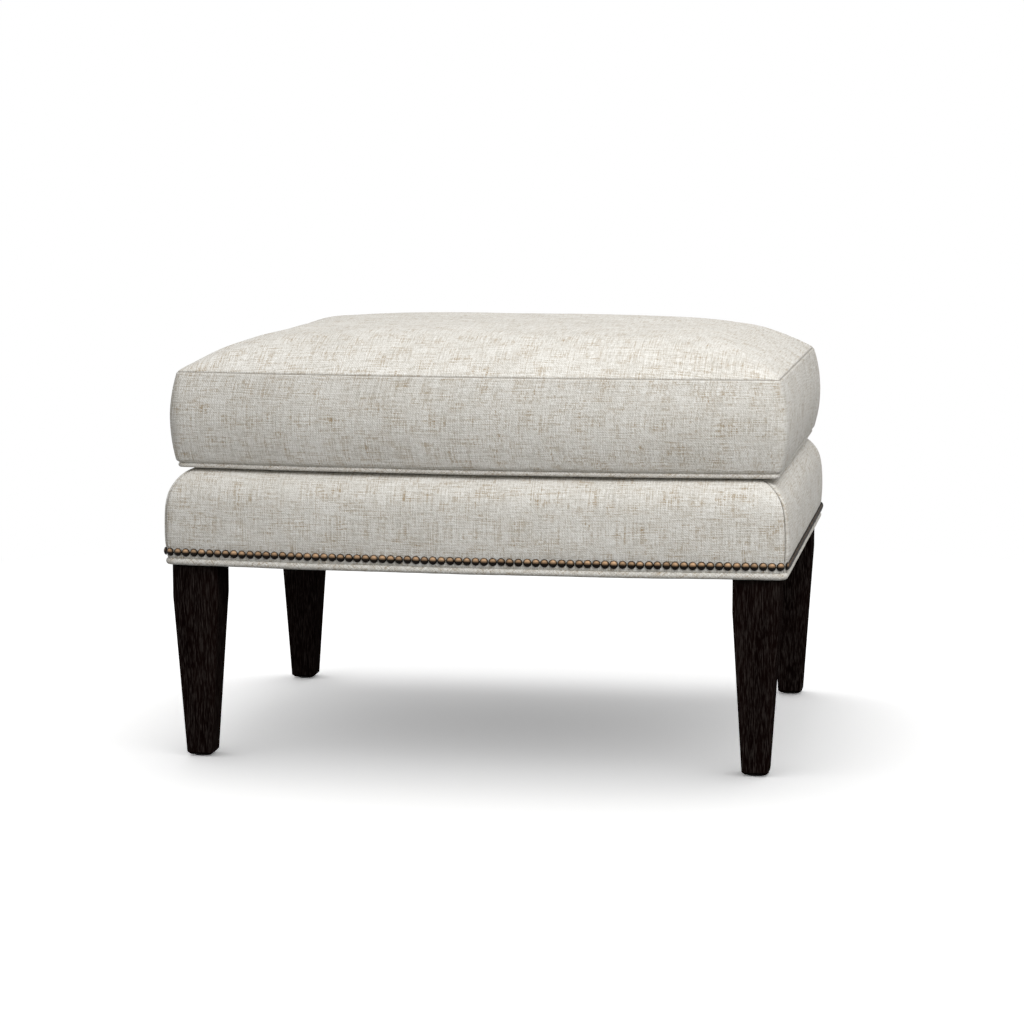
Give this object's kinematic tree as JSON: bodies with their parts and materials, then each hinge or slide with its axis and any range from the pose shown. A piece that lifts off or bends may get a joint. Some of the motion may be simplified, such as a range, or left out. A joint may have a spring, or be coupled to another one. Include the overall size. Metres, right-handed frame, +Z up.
{
  "type": "upholstered footstool",
  "caption": "Low rectangular footstool with a padded, nail-trimmed base on tapered wooden legs and a loose crowned box cushion with a zipped cover.",
  "frame": {"origin": "on the floor, under the middle of the stool", "axes": "+X along the width to the right as seen from the front, the front faces -Y, +Z up"},
  "size_m": [0.7152, 0.5932, 0.4882],
  "materials": {
    "cover_linen": "slubbed linen weave, matt",
    "deck_cloth": "plain cotton, matt",
    "padding": "fibre wadding, matt",
    "foam": "open-cell foam, matt",
    "insulator": "pressed fibre felt, matt",
    "jute": "woven jute, matt",
    "cambric": "black non-woven, matt",
    "frame_wood": "sawn hardwood",
    "leg_wood": "dark stain, satin",
    "nail_brass": "antiqued, satin",
    "bolt_steel": "zinc plated",
    "glide_plastic": "matt",
    "zip_tape": "woven tape, matt",
    "zip_metal": "antiqued, satin"
  },
  "bodies": {
    "base": {"front_rail": "frame_wood", "padding_front": "padding", "cover_front": "cover_linen", "nails_front": "nail_brass", "back_rail": "frame_wood", "padding_back": "padding", "cover_back": "cover_linen", "nails_back": "nail_brass", "left_rail": "frame_wood", "padding_left": "padding", "cover_left": "cover_linen", "nails_left": "nail_brass", "right_rail": "frame_wood", "padding_right": "padding", "cover_right": "cover_linen", "nails_right": "nail_brass", "leg_back_right": "leg_wood", "leg_back_left": "leg_wood", "leg_front_left": "leg_wood", "leg_front_right": "leg_wood", "corner_blocks": "frame_wood", "hanger_bolts": "bolt_steel", "leg_nuts": "bolt_steel", "glides": "glide_plastic", "webbing_lengthwise": "jute", "webbing_crosswise": "jute", "deck_foam": "foam", "deck_insulator": "insulator", "deck_cloth": "deck_cloth", "base_welt": "cover_linen", "dust_cover": "cambric"},
    "cushion": {"cushion_top": "cover_linen", "cushion_boxing": "cover_linen", "zip_band": "cover_linen", "cushion_bottom": "cover_linen", "cushion_welt": "cover_linen", "fibre_base": "padding", "foam_core": "foam", "fibre_crown": "padding", "zip_chain": "zip_tape"},
    "zip_slider": {"zip_slider": "zip_metal"},
    "zip_pull": {"zip_pull": "zip_metal"}
  },
  "joints": [
    {"name": "cushion_lift", "type": "slide", "parent": "base", "child": "cushion", "axis": [0, 0, 1], "range_m": [0, 0.15]},
    {"name": "zip_slide", "type": "hinge", "parent": "cushion", "child": "zip_slider", "pos_m": [0, -2.68131, 0.39302], "axis": [0, 0, 1], "range_deg": [0, 10.22]},
    {"name": "zip_pull_flip", "type": "hinge", "parent": "zip_slider", "child": "zip_pull", "pos_m": [0.26486, 0.27953, 0.39302], "axis": [0, 0, -1], "range_deg": [0, 180]}
  ]
}
